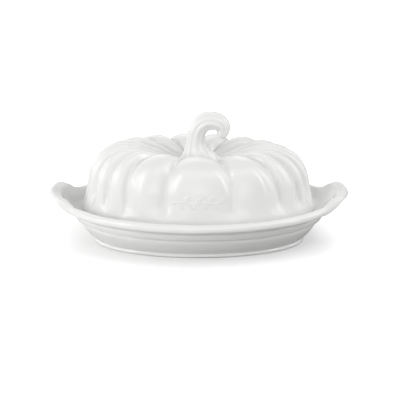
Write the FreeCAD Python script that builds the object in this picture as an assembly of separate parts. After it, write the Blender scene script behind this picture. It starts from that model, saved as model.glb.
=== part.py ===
"""Lidded oval butter dish: a footed dish with two upturned lugs, a ribbed pumpkin cover and its curled stem.

Frame: millimetres, origin on the table under the middle of the dish, +X along the length, +Z up,
and the widest lobe of the cover faces -Y.
"""

import os

import FreeCAD
import Part

from math import cos, pi, radians, sin

# ---- driving dimensions -------------------------------------------------------------------------

RIM_HALF_LENGTH = 109.2  # dish rim at its widest, without the lugs
RIM_HALF_WIDTH = 70.4
RIM_CORNERS = 240  # control points round each dish ring

LUG_REACH = 10.9  # how far a lug stands out past the rim oval
LUG_RISE = 7.8  # how far a lug tips up above the rim
LUG_HALF_WIDTH = 24.8  # to the middle of the lug's side
LUG_SQUARENESS = 22.0  # more gives tighter shoulders where the lug leaves the rim

FLOOR_Z = 7.5  # top of the dish floor
LEDGE_Z = 26.6  # the shelf that the cover stands on

COVER_INSET = -15.6  # cover's outer foot edge, measured in from the rim
COVER_WALL = 5.5
COVER_FOOT_OUTSIDE = (1.4, 0.2)  # insets that round the foot over to its outer edge
COVER_FOOT_INSIDE = (3.6, 5.0)
COVER_INNER_RIBS = 0.7  # how much of the rib depth shows on the inside
COVER_CLEARANCE = 0.02  # seat gap under the cover
COVER_LEAN = 0.022  # fall of the crown towards +X, per millimetre of length

LOBE_CORNERS = 12  # control points across one lobe
LOBE_ARC = radians(66)  # half the arc that one lobe's section spans

STEM_RIBS = 9
STEM_RIB_CORNERS = 6  # control points across one rib
STEM_TWIST = radians(30)  # turn of the ribs from root to tip


def vec(x, y, z):
    return FreeCAD.Vector(x, y, z)


# ---- surfaces through rings of control points ----------------------------------------------------


def clamped_knots(count, degree):
    """Knots and multiplicities of an open curve with evenly spaced inner knots."""
    spans = count - degree
    knots = [float(k) for k in range(spans + 1)]
    mults = [degree + 1] + [1] * (spans - 1) + [degree + 1]
    return knots, mults


def skin(rings):
    """One face over a stack of closed control rings: cubic and seamless round, and up to cubic along."""
    around, along = len(rings[0]), len(rings)
    degree = min(3, along - 1)
    poles = [[ring[i] for ring in rings] for i in range(around)]
    v_knots, v_mults = clamped_knots(along, degree)
    u_knots = [float(k) for k in range(around + 1)]
    surface = Part.BSplineSurface()
    surface.buildFromPolesMultsKnots(
        poles, [1] * (around + 1), v_mults, u_knots, v_knots, True, False, 3, degree
    )
    return surface.toShape()


def ring_wire(ring):
    """The closed curve that a control ring gives at the end of a skin."""
    curve = Part.BSplineCurve()
    count = len(ring)
    curve.buildFromPolesMultsKnots(
        ring, [1] * (count + 1), [float(k) for k in range(count + 1)], True, 3
    )
    return Part.Wire([curve.toShape()])


def flat(outer, inner=None):
    """A plane face inside a ring, or between two rings."""
    wires = [ring_wire(outer)] + ([ring_wire(inner)] if inner else [])
    return Part.Face(wires, "Part::FaceMakerBullseye")


def solid_of(faces, name):
    """Sews faces into one closed solid and checks it."""
    shell = Part.makeShell(faces)
    shell.sewShape()
    solid = Part.Solid(shell.Shells[0] if shell.ShapeType != "Shell" else shell)
    if solid.Volume < 0:
        solid.reverse()
    if not solid.isValid() or not solid.isClosed():
        raise ValueError(name + " is not a closed valid solid")
    return solid


# ---- dish ------------------------------------------------------------------------------------------


def lug_share(y):
    """1 across a lug, falling steeply to 0 along its two sides."""
    return 1 / (1 + (abs(y) / LUG_HALF_WIDTH) ** LUG_SQUARENESS)


def dish_ring(inset, z, reach=0.0, rise=None):
    """Closed oval at a distance from the rim, negative inwards, with its shares of a lug's reach and rise."""
    rise = reach if rise is None else rise
    a, b = RIM_HALF_LENGTH + inset, RIM_HALF_WIDTH + inset
    ring = []
    for k in range(RIM_CORNERS):
        angle = 2 * pi * k / RIM_CORNERS
        x, y = a * cos(angle), b * sin(angle)
        share = lug_share(y)
        x += reach * share * LUG_REACH * (1 if x > 0 else -1)
        ring.append(vec(x, y, z + rise * share * share * LUG_RISE))
    return ring


def dish():
    """Closed dish. Its rows are (distance from the rim, height), then shares of the lugs' reach and rise.

    Inside each lug a nearly flat pad lies behind the bead, and then drops steeply to the ledge.
    """
    recess = [(-34.0, 3.0), (-32.0, 3.0), (-31.2, 0.0), (-30.2, 0.0)]
    foot = [(-27.0, 0.0), (-25.3, 0.0), (-24.9, 1.3), (-25.2, 2.6), (-26.2, 2.9)]
    wall = [
        (-26.2, 2.9),
        (-22.8, 5.6),
        (-18.2, 10.8),
        (-15.0, 15.2),
        (-14.3, 17.0),
        (-15.0, 18.3),
        (-16.4, 19.0),
        (-14.0, 19.5),
        (-11.8, 19.2),
    ]
    band = [
        (-11.8, 19.2),
        (-10.8, 19.7),
        (-10.0, 21.2),
        (-8.9, 23.0),
        (-8.5, 24.2),
        (-9.6, 25.2),
    ]
    neck = [
        (-9.6, 25.2),
        (-10.6, 26.0, 0.25, 0.0),
        (-10.6, 27.6, 0.55, 0.0),
        (-9.4, 28.8, 0.75, 0.0),
        (-5.6, 29.0, 0.8, 0.35),
        (-2.4, 28.9, 0.9, 0.9),
        (-1.0, 29.0, 1.0, 1.26),
    ]
    lip = [
        (-1.0, 29.0, 1.0, 1.26),
        (-0.2, 29.7, 1.0, 1.24),
        (0.3, 31.6, 1.0, 1.1),
        (-0.2, 34.0, 1.0),
        (-2.4, 35.6, 1.0),
        (-5.0, 35.2, 1.0, 0.92),
        (-7.0, 33.4, 1.0, 1.03),
        (-9.4, 31.0, 0.98, 1.27),
        (-11.7, 28.8, 0.93, 1.0),
        (-13.0, 27.2, 0.62, 0.42),
        (-13.8, LEDGE_Z, 0.3, 0.08),
        (-14.6, LEDGE_Z),
    ]
    well = [
        (-21.2, LEDGE_Z),
        (-22.2, LEDGE_Z),
        (-22.8, 25.4),
        (-25.0, 17.0),
        (-28.6, 8.8),
        (-33.0, FLOOR_Z),
        (-36.0, FLOOR_Z),
    ]
    faces = [flat(dish_ring(*recess[0]))]
    faces.append(skin([dish_ring(*p) for p in recess]))
    faces.append(flat(dish_ring(*foot[0]), dish_ring(*recess[-1])))
    for rows in (foot, wall, band, neck, lip):
        faces.append(skin([dish_ring(*p) for p in rows]))
    faces.append(flat(dish_ring(*lip[-1]), dish_ring(*well[0])))
    faces.append(skin([dish_ring(*p) for p in well]))
    faces.append(flat(dish_ring(*well[-1])))
    return solid_of(faces, "dish")


# ---- cover -----------------------------------------------------------------------------------------

# Grooves between the lobes, in degrees of the oval's own angle from the front, down the right side and
# down the left: the lobes are broad at the front and the back, and narrow at the ends.
GROOVES_RIGHT = [17.6, 45.5, 62.5, 76.0, 90.0, 104.0, 118.0, 135.0, 157.5]
GROOVES_LEFT = [17.3, 43.0, 57.5, 71.0, 86.0, 102.5, 120.5, 136.5, 158.5]
GROOVE_BACK = 180.0

# How far the grooves next to the front turn on their way down to the foot, in the same degrees.
DRIFTS_RIGHT = [0.3, 3.0]
DRIFTS_LEFT = [0.4, -3.8, -3.6, -1.6]
DRIFT_TOP_Z = 70.0  # the drift starts here on the way down, and is full at the foot

# Control outline of the lobe tops, foot to stem seat: half length, half width, height, groove depth.
FOOT_A = RIM_HALF_LENGTH + COVER_INSET
FOOT_B = RIM_HALF_WIDTH + COVER_INSET
COVER_ROWS = [
    (FOOT_A, FOOT_B, 28.0, 0.0),
    (FOOT_A - 0.7, FOOT_B - 0.3, 31.5, 0.0),
    (FOOT_A - 1.7, FOOT_B - 0.6, 35.8, 1.0),
    (FOOT_A - 2.8, FOOT_B - 1.0, 40.4, 4.4),
    (FOOT_A - 4.0, FOOT_B - 1.8, 48.0, 5.0),
    (FOOT_A - 5.4, FOOT_B - 3.0, 57.0, 5.6),
    (FOOT_A - 8.8, FOOT_B - 5.2, 65.5, 6.2),
    (FOOT_A - 15.6, FOOT_B - 10.0, 73.8, 6.8),
    (FOOT_A - 26.0, FOOT_B - 18.5, 79.3, 7.2),
    (FOOT_A - 38.0, FOOT_B - 27.5, 80.2, 7.0),
    (FOOT_A - 51.0, FOOT_B - 34.5, 76.8, 6.0),
    (FOOT_A - 64.0, FOOT_B - 39.5, 71.8, 4.6),
    (FOOT_A - 75.0, FOOT_B - 42.5, 68.4, 2.6),
    (10.0, 8.5, 67.4, 0.6),
    (6.0, 5.5, 67.4, 0.0),
]

CROWN_RISE = max(row[2] for row in COVER_ROWS) - LEDGE_Z


def drifted(grooves, drifts, z):
    """Groove angles of one side at a height."""
    share = min(1.0, max(0.0, (DRIFT_TOP_Z - z) / (DRIFT_TOP_Z - LEDGE_Z)))
    drifts = drifts + [0.0] * (len(grooves) - len(drifts))
    return [groove + share * drift for groove, drift in zip(grooves, drifts)]


def groove_angles(z):
    """All groove angles once round at a height, starting at the front lobe's right groove."""
    right = drifted(GROOVES_RIGHT, DRIFTS_RIGHT, z)
    left = [360.0 - g for g in reversed(drifted(GROOVES_LEFT, DRIFTS_LEFT, z))]
    return [radians(g) for g in right + [GROOVE_BACK] + left]


def lobe_stations(z):
    """(oval angle, swell from 0 in a groove to 1 on a lobe's top) once round the cover at a height."""
    grooves = groove_angles(z)
    stations = []
    for j, start in enumerate(grooves):
        end = grooves[(j + 1) % len(grooves)] + (2 * pi if j + 1 == len(grooves) else 0)
        middle, half = (start + end) / 2, (end - start) / 2
        for k in range(LOBE_CORNERS):
            turn = LOBE_ARC * (2 * k / LOBE_CORNERS - 1)
            across = sin(turn) / sin(LOBE_ARC)
            swell = (cos(turn) - cos(LOBE_ARC)) / (1 - cos(LOBE_ARC))
            stations.append((middle + half * across, swell))
    return stations


def row_slope(rows, i):
    """Unit normal (outward, up) of the control outline at a row."""
    low, high = rows[max(0, i - 1)], rows[min(len(rows) - 1, i + 1)]
    run, rise = high[0] - low[0], high[2] - low[2]
    size = (run * run + rise * rise) ** 0.5
    return rise / size, -run / size


def cover_ring(rows, i, sink, ribs):
    """Control ring of the cover at a row, sunk below the lobe tops, with its share of rib depth."""
    a, b, z, depth = rows[i]
    out, up = row_slope(rows, i)
    ring = []
    for angle, swell in lobe_stations(z):
        plan = vec(b * sin(angle), -a * cos(angle), 0)
        plan.normalize()
        inward = sink + ribs * depth * (1 - swell)
        x = a * sin(angle) - plan.x * out * inward
        y = -b * cos(angle) - plan.y * out * inward
        lean = COVER_LEAN * x * max(0.0, z - LEDGE_Z) / CROWN_RISE
        ring.append(vec(x, y, z - up * inward - lean))
    return ring


def foot_ring(inset):
    """Plain oval ring of the cover's foot, at its distance in from the foot's outer edge."""
    a, b = FOOT_A - inset, FOOT_B - inset
    base = LEDGE_Z + COVER_CLEARANCE
    return [vec(a * sin(angle), -b * cos(angle), base) for angle, _ in lobe_stations(base)]


def cover():
    last = len(COVER_ROWS) - 1
    outer = [cover_ring(COVER_ROWS, i, 0.0, 1.0) for i in range(last + 1)]
    inner = [cover_ring(COVER_ROWS, i, COVER_WALL, COVER_INNER_RIBS) for i in range(last + 1)]

    outer = [foot_ring(inset) for inset in COVER_FOOT_OUTSIDE] + outer
    inner = [foot_ring(inset) for inset in COVER_FOOT_INSIDE] + inner
    faces = [
        flat(outer[0], inner[0]),
        skin(outer),
        skin(inner),
        flat(outer[-1]),
        flat(inner[-1]),
    ]
    return solid_of(faces, "cover")


# ---- stem ------------------------------------------------------------------------------------------

# Centre line and size, root to tip: x, y, z, radius, rib depth as a share of the radius.
STEM_STATIONS = [
    (-1.0, 0.0, 63.5, 19.5, 0.15),
    (-1.0, 0.0, 67.5, 18.5, 0.15),
    (-1.4, 0.0, 71.0, 15.2, 0.15),
    (-2.0, 0.0, 74.6, 11.2, 0.14),
    (-2.5, 0.0, 79.0, 8.4, 0.14),
    (-2.8, 0.0, 84.0, 7.5, 0.13),
    (-2.2, 0.0, 90.0, 7.4, 0.12),
    (0.7, -0.2, 96.2, 7.8, 0.12),
    (5.4, -0.4, 100.0, 8.1, 0.12),
    (11.2, -0.6, 100.7, 8.0, 0.12),
    (16.8, -0.9, 98.6, 7.5, 0.12),
    (20.0, -1.3, 95.0, 6.7, 0.12),
    (19.4, -1.8, 91.2, 5.6, 0.11),
    (18.0, -2.2, 88.6, 4.5, 0.09),
    (17.2, -2.4, 87.4, 3.2, 0.06),
    (16.9, -2.5, 87.1, 1.2, 0.0),
]


def stem_ring(i):
    """Ribbed section of the stem, square to its centre line."""
    x, y, z, radius, ribs = STEM_STATIONS[i]
    low = STEM_STATIONS[max(0, i - 1)]
    high = STEM_STATIONS[min(len(STEM_STATIONS) - 1, i + 1)]
    along = vec(high[0] - low[0], high[1] - low[1], high[2] - low[2])
    if i <= 1:
        along = vec(0, 0, 1)
    along.normalize()
    side = vec(0, 1, 0).cross(along)
    side.normalize()
    depth = along.cross(side)
    count = STEM_RIBS * STEM_RIB_CORNERS
    twist = STEM_TWIST * i / (len(STEM_STATIONS) - 1)
    ring = []
    for k in range(count):
        turn = LOBE_ARC * (2 * (k % STEM_RIB_CORNERS) / STEM_RIB_CORNERS - 1)
        swell = (cos(turn) - cos(LOBE_ARC)) / (1 - cos(LOBE_ARC))
        angle = 2 * pi * k / count + twist
        reach = radius * (1 - ribs * (1 - swell))
        ring.append(vec(x, y, z) + side * (reach * cos(angle)) + depth * (reach * sin(angle)))
    return ring


def stem(seat):
    rings = [stem_ring(i) for i in range(len(STEM_STATIONS))]
    raw = solid_of([flat(rings[0]), skin(rings), flat(rings[-1])], "stem")
    luted = raw.cut(seat)
    pieces = sorted(luted.Solids, key=lambda s: s.Volume)
    return pieces[-1]


def main():
    os.makedirs("parts", exist_ok=True)
    cover_solid = cover()
    parts = {"dish": dish(), "cover": cover_solid, "stem": stem(cover_solid)}
    for name, shape in parts.items():
        box = shape.BoundBox
        print(
            name, "valid", shape.isValid(), "solids", len(shape.Solids), "volume_cm3",
            round(shape.Volume / 1000, 1), "z", round(box.ZMin, 2), round(box.ZMax, 2),
            "x", round(box.XMin, 1), round(box.XMax, 1), "y", round(box.YMin, 1), round(box.YMax, 1),
        )
        shape.exportStep("parts/" + name + ".step")


main()
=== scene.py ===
"""Looks of the covered butter dish: thick white glaze on stoneware, on a white table in a soft tent studio.

Metres, in the CAD frame. Each fired piece is a fine even skin wrapped round its CAD solid and relaxed, so
that edges are as round as glaze leaves them. Where the glaze pools and where it runs thin is measured on that
skin and drives the colour: the hollows are darker, partly as pooled glaze and partly as painted shade. The
faces that stand on something are wiped to bare clay.
"""

import math

import bmesh
import bpy
import numpy as np
from mathutils import Matrix, Vector
from mathutils.bvhtree import BVHTree


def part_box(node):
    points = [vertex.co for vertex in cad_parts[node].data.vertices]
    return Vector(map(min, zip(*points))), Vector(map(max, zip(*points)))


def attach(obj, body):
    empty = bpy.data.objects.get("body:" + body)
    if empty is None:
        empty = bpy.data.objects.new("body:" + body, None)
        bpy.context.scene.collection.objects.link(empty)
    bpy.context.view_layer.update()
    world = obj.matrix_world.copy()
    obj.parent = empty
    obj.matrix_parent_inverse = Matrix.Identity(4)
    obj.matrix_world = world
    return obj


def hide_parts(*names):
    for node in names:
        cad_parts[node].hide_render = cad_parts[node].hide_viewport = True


# ---- camera and studio ----------------------------------------------------------------------------

CAMERA_DISTANCE = 2.0
CAMERA_ELEVATION = math.radians(18.8)
CAMERA_TARGET = Vector((0.0, 0.0, 0.030))
CAMERA_LENS = 223.6
CAMERA_SHIFT = (0.003, 0.010)
CAMERA_REACH = 50

TENT_GLOW = 0.12  # brightness of the tent's plain cloth
# Soft-edged panels of light behind the cloth: azimuth from the front and towards the right, elevation,
# how far each fades out to the sides and up and down (degrees), and brightness.
TENT_PANELS = {
    "left": (-90, 6, 28, 17, 2.4),
    "left_back": (-135, 10, 28, 20, 1.5),
    "left_window": (-56, 22, 18, 24, 1.9),
    "left_softbox": (-50, 24, 5, 24, 4.0),
    "left_strip": (-68, 26, 5, 20, 2.4),
    "front_low": (0, 4, 26, 15, 1.8),
    "front_high": (0, 45, 34, 18, 1.4),
    "right_high": (60, 45, 34, 18, 1.6),
    "right_softbox": (64, 26, 6, 24, 4.6),
    "right_window": (98, 22, 16, 24, 2.9),
    "back_high": (180, 45, 34, 18, 2.2),
    "back_low": (180, 4, 26, 15, 0.7),
}
TABLE_HALF_SIZE = 6.0
TABLE_BOUNCE_PAINTED_LIGHT = (0.79, 0.42)  # painted light: shares of light that the table sends back to the dish, left and right, painted brighter on the left and darker on the right
TABLE_BOUNCE_REACH = 0.10  # half the length over which the one share turns into the other
TABLE_SEEN_PAINTED_LIGHT = (1.0, 1.9)  # painted light: shares that the camera sees, beside the dish's foot and past white away from it, which leaves a painted shadow ring round the foot
TABLE_OVAL = Vector((0.078, 0.052))  # half sizes of the oval outside which the seen share starts to rise
TABLE_FADE = 1.25  # and it is fully risen this many half sizes further out

# ---- skins ----------------------------------------------------------------------------------------

SKIN_GRID = {"dish": 0.0006, "cover": 0.0006, "stem": 0.0005}
SKIN_RELAX = {"dish": 4, "cover": 24, "stem": 20}  # rounds of smoothing without shrinking
SKIN_SOFTEN = {"dish": 1, "cover": 4}  # rounds of plain smoothing, for the last steps of the grid
CREASE_ROUNDS = {"dish": 0, "cover": 60}  # rounds of smoothing in the hollows, which fills them
WAVE_COUNT = 14  # slow hand-finished unevenness, as a sum of plane waves
WAVE_LENGTHS = (0.016, 0.042)
WAVE_HEIGHT = 0.00009
WAVE_SEED = {"cover": 11, "stem": 11, "dish": 12}  # the stem moves with the cover that it is stuck to
POOL_ROUNDS = 60  # rounds of averaging that the glaze flattens out over
POOL_SOFTEN = 6  # rounds of averaging of the measured depth
POOL_DEPTH = 0.0004  # a hollow this deep counts fully: fully filled, and fully pooled with its painted shade
RELAX_STEP = 0.5  # share of the way to the neighbours' middle in one round
RELAX_BACK = 0.53  # and the step back that keeps the skin from shrinking

# ---- slip fillet round the stem's root ------------------------------------------------------------

FILLET_REACH = 0.0032
FILLET_ROUNDS = 70
FILLET_FADE = 8  # rounds of averaging that let the fillet's smoothing fade out round it
FILLET_EDGE = 0.00003  # height over the cover at which the fillet is trimmed
RIM_ROUNDS = 12
RIM_SINK = 0.00003
SKIRT_DEPTH = 0.0015  # how far the root turns down into the cover's wall
ROOT_RADIUS = 0.030
ROOT_FOOT_Z = 0.0655  # the root's closed end, hidden in the cover's wall

# ---- relief on the front lobe ---------------------------------------------------------------------

SPRIG_CENTRE_Z = 0.0482
SPRIG_HALF_LENGTH = 0.0188
SPRIG_WAVE = 0.0006
SPRIG_WAVE_LENGTH = 0.0160
SPRIG_VINE = 0.00040  # half width of the vine
SPRIG_LEAVES = 8
SPRIG_LEAF = (0.0030, 0.0015)  # half length, half width
SPRIG_LEAF_TILT = math.radians(48)
SPRIG_BERRY = 0.0011
SPRIG_SOFT = 0.00040
SPRIG_HEIGHT = 0.00032
FRONT_FACING = -0.4  # a normal's y under this faces the front

# ---- glaze and clay -------------------------------------------------------------------------------

GLAZE_BODY = ((0.782, 0.783, 0.772, 1), (0.812, 0.813, 0.806, 1))
# Colour of the hollows: partly the pooled glaze's own darker, greener colour, partly painted shade where the
# grooves lie in shade.
GLAZE_POOL_AND_PAINTED_SHADE = (0.768, 0.775, 0.766, 1)
GLAZE_EDGE = (0.826, 0.824, 0.814, 1)
POOL_AND_SHADE_SHOWS = (0.05, 0.9)  # the pooled colour, with its painted shade, comes in over these values of the hollow depth attribute
EDGE_SHOWS = (-0.9, -0.25)  # and the thin edges' colour goes out over these
EDGE_SHARE = 0.75  # as much of it as a sharp edge shows
GLAZE_ROUGHNESS = (0.05, 0.09)
ROUGHNESS_CONTRAST = (0.3, 0.7)  # values of the noise between which the roughness changes
GLAZE_IOR = 1.52
PEEL_DEPTH = 0.00003
CLAY = ((0.60, 0.55, 0.47, 1), (0.74, 0.70, 0.63, 1))
CLAY_ROUGHNESS = 0.75  # on top of the glaze's
CLAY_GRAIN_DEPTH = 0.0002
WIPE_HEIGHT = 0.0005  # the glaze starts again over this height
WIPE_FACING = (-0.8, -0.5)  # and over these values of a normal's z, so only faces that look down are bare
NOISE_SCALE = {"cloud": 22.0, "patches": 60.0, "peel": 210.0, "grain": 1500.0}  # per metre


def new_object(name, mesh):
    holder = bpy.data.objects.new(name, mesh)
    bpy.context.scene.collection.objects.link(holder)
    return holder


def look_along(holder, place, target):
    """Puts a camera or light at place, facing target."""
    facing = (Vector(target) - Vector(place)).normalized()
    turn = facing.to_track_quat("-Z", "Y").to_matrix().to_4x4()
    holder.matrix_world = Matrix.Translation(place) @ turn


# ---- node helpers ---------------------------------------------------------------------------------

MIX_COLOUR_INPUTS = (0, 6, 7)  # a colour Mix node's share, first and second colour
MIX_COLOUR_OUTPUT = 2


class Nodes:
    """Builds a material's or a world's node tree with short calls."""

    def __init__(self, owner):
        owner.use_nodes = True
        self.tree = owner.node_tree

    def add(self, kind, **inputs):
        """A node with its inputs set; an input given another node's socket is linked to it."""
        node = self.tree.nodes.new("ShaderNode" + kind)
        for name, value in inputs.items():
            self.set(node, name.replace("_", " "), value)
        return node

    def set(self, node, name, value):
        """Sets or links a node's input, given by its name or its number."""
        socket = node.inputs[name]
        if isinstance(value, bpy.types.NodeSocket):
            self.tree.links.new(value, socket)
        else:
            socket.default_value = value

    def math(self, operation, *values):
        node = self.tree.nodes.new("ShaderNodeMath")
        node.operation = operation
        for k, value in enumerate(values):
            self.set(node, k, value)
        return node.outputs[0]

    def ramp(self, value, low, high, out_low=0.0, out_high=1.0):
        node = self.add("MapRange", Value=value)
        node.interpolation_type = "SMOOTHSTEP"
        self.set(node, "From Min", low)
        self.set(node, "From Max", high)
        self.set(node, "To Min", out_low)
        self.set(node, "To Max", out_high)
        return node.outputs["Result"]

    def mix(self, share, a, b):
        node = self.tree.nodes.new("ShaderNodeMix")
        node.data_type = "RGBA"
        for k, value in zip(MIX_COLOUR_INPUTS, (share, a, b)):
            self.set(node, k, value)
        return node.outputs[MIX_COLOUR_OUTPUT]


# ---- camera, table, tent ---------------------------------------------------------------------------


def make_camera():
    camera = bpy.data.cameras.new("camera")
    camera.lens = CAMERA_LENS
    camera.shift_x, camera.shift_y = CAMERA_SHIFT
    camera.clip_end = CAMERA_REACH
    holder = new_object("camera", camera)
    out = Vector((0, -math.cos(CAMERA_ELEVATION), math.sin(CAMERA_ELEVATION)))
    look_along(holder, CAMERA_TARGET + out * CAMERA_DISTANCE, CAMERA_TARGET)
    bpy.context.scene.camera = holder


def make_table():
    """White paper with painted light: it lights the dish by one share of its light, painted brighter on the
    left than the right, and shows the camera another, painted past white away from the dish's foot so that a
    painted shadow ring stays beside the foot.
    """
    r = TABLE_HALF_SIZE
    mesh = bpy.data.meshes.new("table")
    mesh.from_pydata([(-r, -r, 0), (r, -r, 0), (r, r, 0), (-r, r, 0)], [], [(0, 1, 2, 3)])
    table = new_object("table", mesh)
    painted_light_paper = bpy.data.materials.new("painted_light_paper")
    kit = Nodes(painted_light_paper)
    place = kit.add("SeparateXYZ", Vector=kit.add("TexCoord").outputs["Object"])
    across = kit.math("DIVIDE", place.outputs["X"], TABLE_OVAL.x)
    deep = kit.math("DIVIDE", place.outputs["Y"], TABLE_OVAL.y)
    square = kit.math("ADD", kit.math("MULTIPLY", across, across), kit.math("MULTIPLY", deep, deep))
    # painted light: the paper shows the camera brighter, past white, away from the foot, so a painted shadow
    # stays beside it
    painted_seen_light = kit.ramp(kit.math("SQRT", square), 1.0, 1.0 + TABLE_FADE, *TABLE_SEEN_PAINTED_LIGHT)
    # painted light: the bounce to the dish is painted brighter on the left than on the right
    painted_bounce_light = kit.ramp(place.outputs["X"], -TABLE_BOUNCE_REACH, TABLE_BOUNCE_REACH, *TABLE_BOUNCE_PAINTED_LIGHT)
    seen = kit.add("LightPath").outputs["Is Camera Ray"]
    unseen = kit.math("SUBTRACT", 1.0, seen)
    share = kit.math("ADD", kit.math("MULTIPLY", seen, painted_seen_light), kit.math("MULTIPLY", unseen, painted_bounce_light))
    shade = kit.add("CombineXYZ", X=share, Y=share, Z=share).outputs["Vector"]
    matt = kit.add("BsdfDiffuse", Color=shade)
    kit.tree.links.new(matt.outputs["BSDF"], kit.tree.nodes["Material Output"].inputs["Surface"])
    mesh.materials.append(painted_light_paper)


def panel_light(kit, azimuth, height, panel):
    """Brightness of one soft-edged panel, towards a direction given by its azimuth and height angle."""
    middle, level, side, rise, glow = panel
    off = kit.math("WRAP", kit.math("SUBTRACT", azimuth, math.radians(middle)), math.pi, -math.pi)
    across = kit.math("DIVIDE", off, math.radians(side))
    up = kit.math("DIVIDE", kit.math("SUBTRACT", height, math.radians(level)), math.radians(rise))
    square = kit.math("ADD", kit.math("MULTIPLY", across, across), kit.math("MULTIPLY", up, up))
    return kit.math("MULTIPLY", kit.math("EXPONENT", kit.math("MULTIPLY", square, -1.0)), glow)


def make_tent():
    """A white light tent round the whole scene, brighter where panels shine through it."""
    scene = bpy.context.scene
    scene.view_settings.view_transform = "Standard"
    tent = bpy.data.worlds.new("tent")
    scene.world = tent
    kit = Nodes(tent)
    way = kit.add("SeparateXYZ", Vector=kit.add("TexCoord").outputs["Generated"])
    azimuth = kit.math("ARCTAN2", way.outputs["X"], kit.math("MULTIPLY", way.outputs["Y"], -1.0))
    height = kit.math("ARCSINE", way.outputs["Z"])
    glow = TENT_GLOW
    for panel in TENT_PANELS.values():
        glow = kit.math("ADD", glow, panel_light(kit, azimuth, height, panel))
    cloth = kit.tree.nodes["Background"]
    kit.set(cloth, "Color", (1, 1, 1, 1))
    kit.set(cloth, "Strength", glow)


# ---- skins ----------------------------------------------------------------------------------------


def wrap(name, node_names, grid):
    """An even closed skin round the CAD nodes, as a new object."""
    build = bmesh.new()
    for node in node_names:
        build.from_mesh(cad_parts[node].data)
    source = bpy.data.meshes.new(name)
    build.to_mesh(source)
    build.free()
    holder = new_object(name, source)
    remesh = holder.modifiers.new("skin", "REMESH")
    remesh.mode = "VOXEL"
    remesh.voxel_size = grid * 1.0
    remesh.use_smooth_shade = True
    seen = holder.evaluated_get(bpy.context.evaluated_depsgraph_get())
    mesh = bpy.data.meshes.new_from_object(seen)
    holder.modifiers.clear()
    holder.data = mesh
    mesh.materials.clear()
    keep_largest(mesh)
    return holder


def joined_to(start):
    """All points that a point is joined to by edges, with the point itself."""
    group, waiting = {start}, [start]
    while waiting:
        vert = waiting.pop()
        for link in vert.link_edges:
            other = link.other_vert(vert)
            if other not in group:
                group.add(other)
                waiting.append(other)
    return group


def keep_largest(mesh):
    """Drops the specks that a wrap can leave inside a wall."""
    build = bmesh.new()
    build.from_mesh(mesh)
    left = set(build.verts)
    groups = []
    while left:
        group = joined_to(next(iter(left)))
        left -= group
        groups.append(group)
    groups.sort(key=len)
    for group in groups[:-1]:
        bmesh.ops.delete(build, geom=list(group), context="VERTS")
    build.to_mesh(mesh)
    build.free()


def read_points(mesh):
    points = np.empty(len(mesh.vertices) * 3)
    mesh.vertices.foreach_get("co", points)
    return points.reshape(-1, 3)


def write_points(mesh, points):
    mesh.vertices.foreach_set("co", points.ravel())
    mesh.update()


def read_normals(mesh):
    normals = np.empty(len(mesh.vertices) * 3)
    mesh.vertex_normals.foreach_get("vector", normals)
    return normals.reshape(-1, 3)


def read_edges(mesh):
    edges = np.empty(len(mesh.edges) * 2, dtype=np.int64)
    mesh.edges.foreach_get("vertices", edges)
    return edges.reshape(-1, 2)


def averaged(values, edges):
    """Each point's value averaged over its neighbours."""
    count = len(values)
    a, b = edges[:, 0], edges[:, 1]
    total = np.empty_like(values)
    for k in range(values.shape[1]):
        total[:, k] = np.bincount(a, values[b, k], count) + np.bincount(b, values[a, k], count)
    return total / np.bincount(edges.ravel(), minlength=count)[:, None]


def relax(mesh, rounds, share=None, shrink=False):
    """Smooths each point by its share; without shrink a slightly larger step back follows each round."""
    points, edges = read_points(mesh), read_edges(mesh)
    share = 1.0 if share is None else share[:, None]
    for _ in range(rounds):
        points += RELAX_STEP * share * (averaged(points, edges) - points)
        if not shrink:
            points -= RELAX_BACK * share * (averaged(points, edges) - points)
    write_points(mesh, points)


def waver(mesh, seed):
    """How far slow waves lift each point of the skin, like a shape finished by hand."""
    rng = np.random.default_rng(seed)
    points = read_points(mesh)
    lift = np.zeros(len(points))
    for _ in range(WAVE_COUNT):
        heading = rng.normal(size=3)
        heading /= np.linalg.norm(heading)
        wave = 2 * math.pi / rng.uniform(*WAVE_LENGTHS)
        lift += np.sin(points @ heading * wave + rng.uniform(0, 2 * math.pi))
    lift *= WAVE_HEIGHT / math.sqrt(WAVE_COUNT / 2)
    return lift


def hollowness(mesh):
    """How deep the skin lies under its own average, from 1 in a deep hollow to -1 on a sharp edge."""
    points, edges = read_points(mesh), read_edges(mesh)
    level = points.copy()
    for _ in range(POOL_ROUNDS):
        level += RELAX_STEP * (averaged(level, edges) - level)
    depth = np.einsum("ij,ij->i", level - points, read_normals(mesh))[:, None]
    for _ in range(POOL_SOFTEN):
        depth = averaged(depth, edges)
    return np.clip(depth[:, 0] / POOL_DEPTH, -1, 1)


def fill_creases(mesh, rounds):
    """Smooths only the hollows, the way that glaze runs into them."""
    relax(mesh, rounds, np.clip(hollowness(mesh), 0, 1), shrink=True)


def store(mesh, name, values):
    layer = mesh.attributes.new(name, "FLOAT", "POINT")
    layer.data.foreach_set("value", values.astype(np.float32))


# ---- relief ---------------------------------------------------------------------------------------


def soft_step(distance):
    """1 inside an outline, falling to 0 over SPRIG_SOFT outside it."""
    t = np.clip(1 - distance / SPRIG_SOFT, 0, 1)
    return t * t * (3 - 2 * t)


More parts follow.
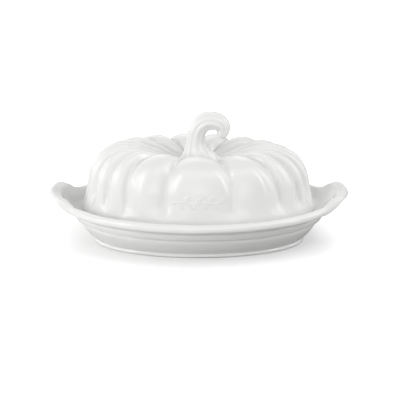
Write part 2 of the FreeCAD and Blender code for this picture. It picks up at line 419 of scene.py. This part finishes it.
def sprig_height(x, z):
    """Relief of a wavy vine with leaves on alternate sides and a berry at each end, from 0 to 1."""
    middle = SPRIG_CENTRE_Z + SPRIG_WAVE * np.sin(2 * math.pi * x / SPRIG_WAVE_LENGTH)
    beyond = np.maximum(np.abs(x) - SPRIG_HALF_LENGTH, 0)
    height = soft_step(np.hypot(z - middle, beyond) - SPRIG_VINE)
    for side in (-1, 1):
        end = side * (SPRIG_HALF_LENGTH + SPRIG_BERRY)
        level = SPRIG_CENTRE_Z + SPRIG_WAVE * math.sin(2 * math.pi * end / SPRIG_WAVE_LENGTH)
        height = np.maximum(height, soft_step(np.hypot(x - end, z - level) - SPRIG_BERRY))
    half, width = SPRIG_LEAF
    for k in range(SPRIG_LEAVES):
        root = SPRIG_HALF_LENGTH * (2 * (k + 0.5) / SPRIG_LEAVES - 1)
        up = 1 if k % 2 else -1
        turn = up * SPRIG_LEAF_TILT
        level = SPRIG_CENTRE_Z + SPRIG_WAVE * math.sin(2 * math.pi * root / SPRIG_WAVE_LENGTH)
        along = (x - root) * math.cos(turn) + (z - level) * math.sin(turn) - half - SPRIG_VINE
        across = (z - level) * math.cos(turn) - (x - root) * math.sin(turn)
        inside = np.clip(1 - (along / half) ** 2, 0, 1)
        outline = np.abs(across) - width * inside
        height = np.maximum(height, soft_step(np.maximum(outline, np.abs(along) - half)))
    return height


def add_sprig(mesh):
    """Refines the front lobe where the relief lies, then raises it."""
    build = bmesh.new()
    build.from_mesh(mesh)
    reach = SPRIG_HALF_LENGTH + 4 * SPRIG_BERRY
    tall = 4 * SPRIG_LEAF[0]

    def in_patch(face):
        spot = face.calc_center_median()
        facing = face.normal.y < FRONT_FACING
        return facing and abs(spot.x) < reach and abs(spot.z - SPRIG_CENTRE_Z) < tall / 2

    edges = {edge for face in build.faces if in_patch(face) for edge in face.edges}
    bmesh.ops.subdivide_edges(build, edges=list(edges), cuts=1, use_grid_fill=True)
    build.to_mesh(mesh)
    build.free()
    points, normals = read_points(mesh), read_normals(mesh)
    lift = sprig_height(points[:, 0], points[:, 2]) * (normals[:, 1] < FRONT_FACING)
    write_points(mesh, points + normals * (SPRIG_HEIGHT * lift)[:, None])


# ---- pieces ---------------------------------------------------------------------------------------


def make_skin(name, node):
    piece = wrap(name, [node], SKIN_GRID[node])
    relax(piece.data, SKIN_RELAX[node])
    relax(piece.data, SKIN_SOFTEN[node], shrink=True)
    fill_creases(piece.data, CREASE_ROUNDS[node])
    return piece


def finish_piece(piece, body, node, material):
    """Gives a skin its waves, hollow depth values (which drive the pooled colour and its painted shade) and
    material, and puts it in its CAD node's place.
    """
    mesh = piece.data
    points = read_points(mesh) + read_normals(mesh) * waver(mesh, WAVE_SEED[node])[:, None]
    points[:, 2] = np.maximum(points[:, 2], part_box(node)[0].z)  # no wave goes under what it stands on
    write_points(mesh, points)
    # hollow depth, which drives the pooled glaze colour and the painted shade in the hollows
    store(mesh, "hollow_depth", hollowness(mesh))
    mesh.materials.append(material)
    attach(piece, body)
    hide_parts(node)


def near(tree, points, reach):
    """True for each point nearer to the tree's surface than reach."""
    return np.array([tree.find_nearest(p, reach)[0] is not None for p in points])


def tree_of(mesh):
    return BVHTree.FromPolygons([v.co for v in mesh.vertices], [p.vertices for p in mesh.polygons])


def make_stem(cover):
    """The stem with the fillet of slip that sticks it on, trimmed where the fillet runs out on the cover."""
    joined = wrap("glazed_stem", ["cover", "stem"], SKIN_GRID["stem"])
    mesh = joined.data
    build = bmesh.new()
    build.from_mesh(mesh)
    far = [v for v in build.verts if math.hypot(v.co.x, v.co.y) > ROOT_RADIUS or v.co.z < ROOT_FOOT_Z]
    bmesh.ops.delete(build, geom=far, context="VERTS")
    build.to_mesh(mesh)
    build.free()

    relax(mesh, SKIN_RELAX["stem"])
    stem_tree = tree_of(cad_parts["stem"].data)
    cover_tree = tree_of(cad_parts["cover"].data)
    points = [v.co for v in mesh.vertices]
    crease = near(stem_tree, points, FILLET_REACH) & near(cover_tree, points, FILLET_REACH)
    share = crease.astype(float)[:, None]
    edges = read_edges(mesh)
    for _ in range(FILLET_FADE):
        share = averaged(share, edges)
    relax(mesh, FILLET_ROUNDS, share[:, 0], shrink=True)

    skin_tree = tree_of(cover.data)
    build = bmesh.new()
    build.from_mesh(mesh)
    over = {}
    for vert in build.verts:
        spot, normal, _, _ = skin_tree.find_nearest(vert.co)
        over[vert] = (vert.co - spot).dot(normal)
    sunk = [v for v in build.verts if over[v] < FILLET_EDGE]
    bmesh.ops.delete(build, geom=sunk, context="VERTS")
    kept = joined_to(max(build.verts, key=lambda v: v.co.z))
    bmesh.ops.delete(build, geom=[v for v in build.verts if v not in kept], context="VERTS")
    close_root(build, skin_tree)
    build.to_mesh(mesh)
    build.free()
    return joined


def close_root(build, skin_tree):
    """Evens the trimmed edge out on the cover, turns it down into the wall and closes it to a point."""
    rim = [edge for edge in build.edges if edge.is_boundary]
    beside = {}
    for edge in rim:
        edge.smooth = False
        a, b = edge.verts
        beside.setdefault(a, []).append(b)
        beside.setdefault(b, []).append(a)
    for _ in range(RIM_ROUNDS):
        middles = {v: sum((n.co for n in pair), Vector()) / len(pair) for v, pair in beside.items()}
        for vert, middle in middles.items():
            vert.co = vert.co.lerp(middle, RELAX_STEP)
    for vert in beside:
        spot, normal, _, _ = skin_tree.find_nearest(vert.co)
        vert.co = spot - normal * RIM_SINK
    grown = bmesh.ops.extrude_edge_only(build, edges=rim)["geom"]
    skirt = [item for item in grown if isinstance(item, bmesh.types.BMVert)]
    for vert in skirt:
        _, normal, _, _ = skin_tree.find_nearest(vert.co)
        vert.co -= normal * SKIRT_DEPTH
    foot = build.verts.new((0, 0, ROOT_FOOT_Z))
    hem = [item for item in grown if isinstance(item, bmesh.types.BMEdge) and item.is_boundary]
    for edge in hem:
        build.faces.new((edge.verts[0], edge.verts[1], foot))
    bmesh.ops.recalc_face_normals(build, faces=build.faces)


# ---- glaze ----------------------------------------------------------------------------------------


def make_glaze(name, bare_below):
    """White gloss glaze, bare clay on faces that look down at or under the height bare_below."""
    material = bpy.data.materials.new(name)
    kit = Nodes(material)
    surface = kit.tree.nodes["Principled BSDF"]
    place = kit.add("TexCoord").outputs["Object"]
    hollow_depth = kit.add("Attribute")
    hollow_depth.attribute_name = "hollow_depth"
    hollow_depth = hollow_depth.outputs["Fac"]

    cloud = kit.add("TexNoise", Vector=place, Scale=NOISE_SCALE["cloud"], Detail=2.0).outputs["Fac"]
    body = kit.mix(cloud, *GLAZE_BODY)
    # painted shade: the hollows are darkened and greened, partly as pooled glaze and partly as painted shade
    body = kit.mix(kit.ramp(hollow_depth, *POOL_AND_SHADE_SHOWS), body, GLAZE_POOL_AND_PAINTED_SHADE)
    body = kit.mix(kit.ramp(hollow_depth, *EDGE_SHOWS, EDGE_SHARE, 0.0), body, GLAZE_EDGE)

    peel = kit.add("TexNoise", Vector=place, Scale=NOISE_SCALE["peel"], Detail=1.0).outputs["Fac"]
    grain = kit.add("TexNoise", Vector=place, Scale=NOISE_SCALE["grain"], Detail=2.0).outputs["Fac"]
    clay = kit.mix(grain, *CLAY)

    height = kit.add("SeparateXYZ", Vector=place).outputs["Z"]
    down = kit.add("SeparateXYZ", Vector=kit.add("NewGeometry").outputs["Normal"]).outputs["Z"]
    low = kit.ramp(height, bare_below, bare_below + WIPE_HEIGHT, 1.0, 0.0)
    bare = kit.math("MULTIPLY", low, kit.ramp(down, *WIPE_FACING, 1.0, 0.0))

    kit.set(surface, "Base Color", kit.mix(bare, body, clay))
    patches = kit.add("TexNoise", Vector=place, Scale=NOISE_SCALE["patches"]).outputs["Fac"]
    gloss = kit.ramp(patches, *ROUGHNESS_CONTRAST, *GLAZE_ROUGHNESS)
    rough = kit.math("ADD", gloss, kit.math("MULTIPLY", bare, CLAY_ROUGHNESS))
    kit.set(surface, "Roughness", rough)
    kit.set(surface, "IOR", GLAZE_IOR)

    glaze_bump = kit.add("Bump", Height=peel, Strength=1.0, Distance=PEEL_DEPTH)
    clay_bump = kit.add("Bump", Height=grain, Strength=bare, Distance=CLAY_GRAIN_DEPTH)
    kit.tree.links.new(glaze_bump.outputs["Normal"], clay_bump.inputs["Normal"])
    kit.set(surface, "Normal", clay_bump.outputs["Normal"])
    return material


# ---- build ----------------------------------------------------------------------------------------

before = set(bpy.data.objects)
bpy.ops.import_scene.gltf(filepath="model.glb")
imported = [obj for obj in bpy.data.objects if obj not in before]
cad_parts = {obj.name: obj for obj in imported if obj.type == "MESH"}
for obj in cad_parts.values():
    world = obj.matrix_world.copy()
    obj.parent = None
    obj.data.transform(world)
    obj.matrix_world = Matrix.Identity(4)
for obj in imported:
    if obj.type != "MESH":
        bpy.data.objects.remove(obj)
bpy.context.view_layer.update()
make_camera()
make_table()
make_tent()

cover = make_skin("glazed_cover", "cover")
stem = make_stem(cover)
add_sprig(cover.data)
finish_piece(cover, "lid", "cover", make_glaze("cover_glaze_skin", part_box("cover")[0].z))
finish_piece(stem, "lid", "stem", make_glaze("stem_glaze_skin", 0.0))
dish = make_skin("glazed_dish", "dish")
finish_piece(dish, "base", "dish", make_glaze("dish_glaze_skin", 0.0))
